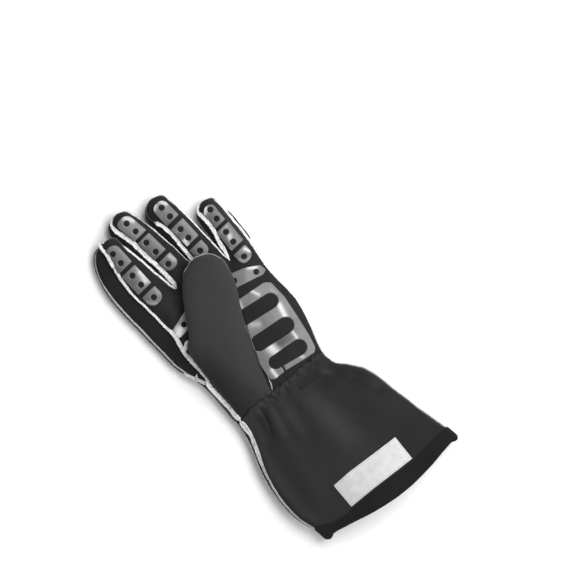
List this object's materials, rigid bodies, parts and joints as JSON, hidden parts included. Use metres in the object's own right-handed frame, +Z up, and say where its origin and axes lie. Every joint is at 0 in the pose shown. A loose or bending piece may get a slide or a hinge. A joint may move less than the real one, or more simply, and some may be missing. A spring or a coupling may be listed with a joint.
{
  "type": "racing glove",
  "caption": "Gauntlet racing glove for the left hand, palm up with the thumb folded over the palm, outseams, grip pads on palm and fingers.",
  "frame": {"origin": "centre of the bounding box in plan, on the flat underside that rests on the surface", "axes": "+X towards the little finger, +Y towards the fingertips, +Z up out of the palm"},
  "size_m": [0.1524, 0.3522, 0.0388],
  "materials": {
    "gauntlet_cloth": "fine black woven fire-resistant cloth, matt",
    "back_cloth": "fine black woven cloth, matt",
    "hem": "folded cloth hem, matt",
    "suede": "black suede, napped, matt",
    "thumb_cloth": "dark grey woven cloth, matt",
    "seam": "raised light outseam, rough cut edge with stitches",
    "pad": "silver-grey glossy grip rubber",
    "label": "white woven label, left bare",
    "red_label": "red woven label, left bare",
    "gloss_strip": "glossy black coated strip"
  },
  "bodies": {
    "root": {"gauntlet_front": "gauntlet_cloth", "gauntlet_back": "gauntlet_cloth", "cuff_band": "hem", "palm_panel": "suede", "index_back_panel": "suede", "finger_backs_panel": "back_cloth", "knuckle_panel": "suede", "hand_back_panel": "back_cloth", "index_side_strip": "suede", "wall_index_middle": "suede", "wall_middle_ring": "suede", "wall_ring_little": "suede", "thumb_front": "thumb_cloth", "thumb_back": "thumb_cloth", "palm_seam": "seam", "back_seam": "seam", "thumb_seam": "seam", "care_label": "label", "back_label": "red_label", "wrist_strip": "gloss_strip", "pad_index_tip": "pad", "pad_index_middle": "pad", "pad_index_root": "pad", "pad_middle_tip": "pad", "pad_middle_middle": "pad", "pad_middle_root": "pad", "pad_ring_tip": "pad", "pad_ring_middle": "pad", "pad_ring_root": "pad", "pad_little_tip": "pad", "pad_little_middle": "pad", "pad_little_root": "pad", "pad_palm_bar": "pad", "pad_palm_ladder": "pad"}
  },
  "joints": []
}
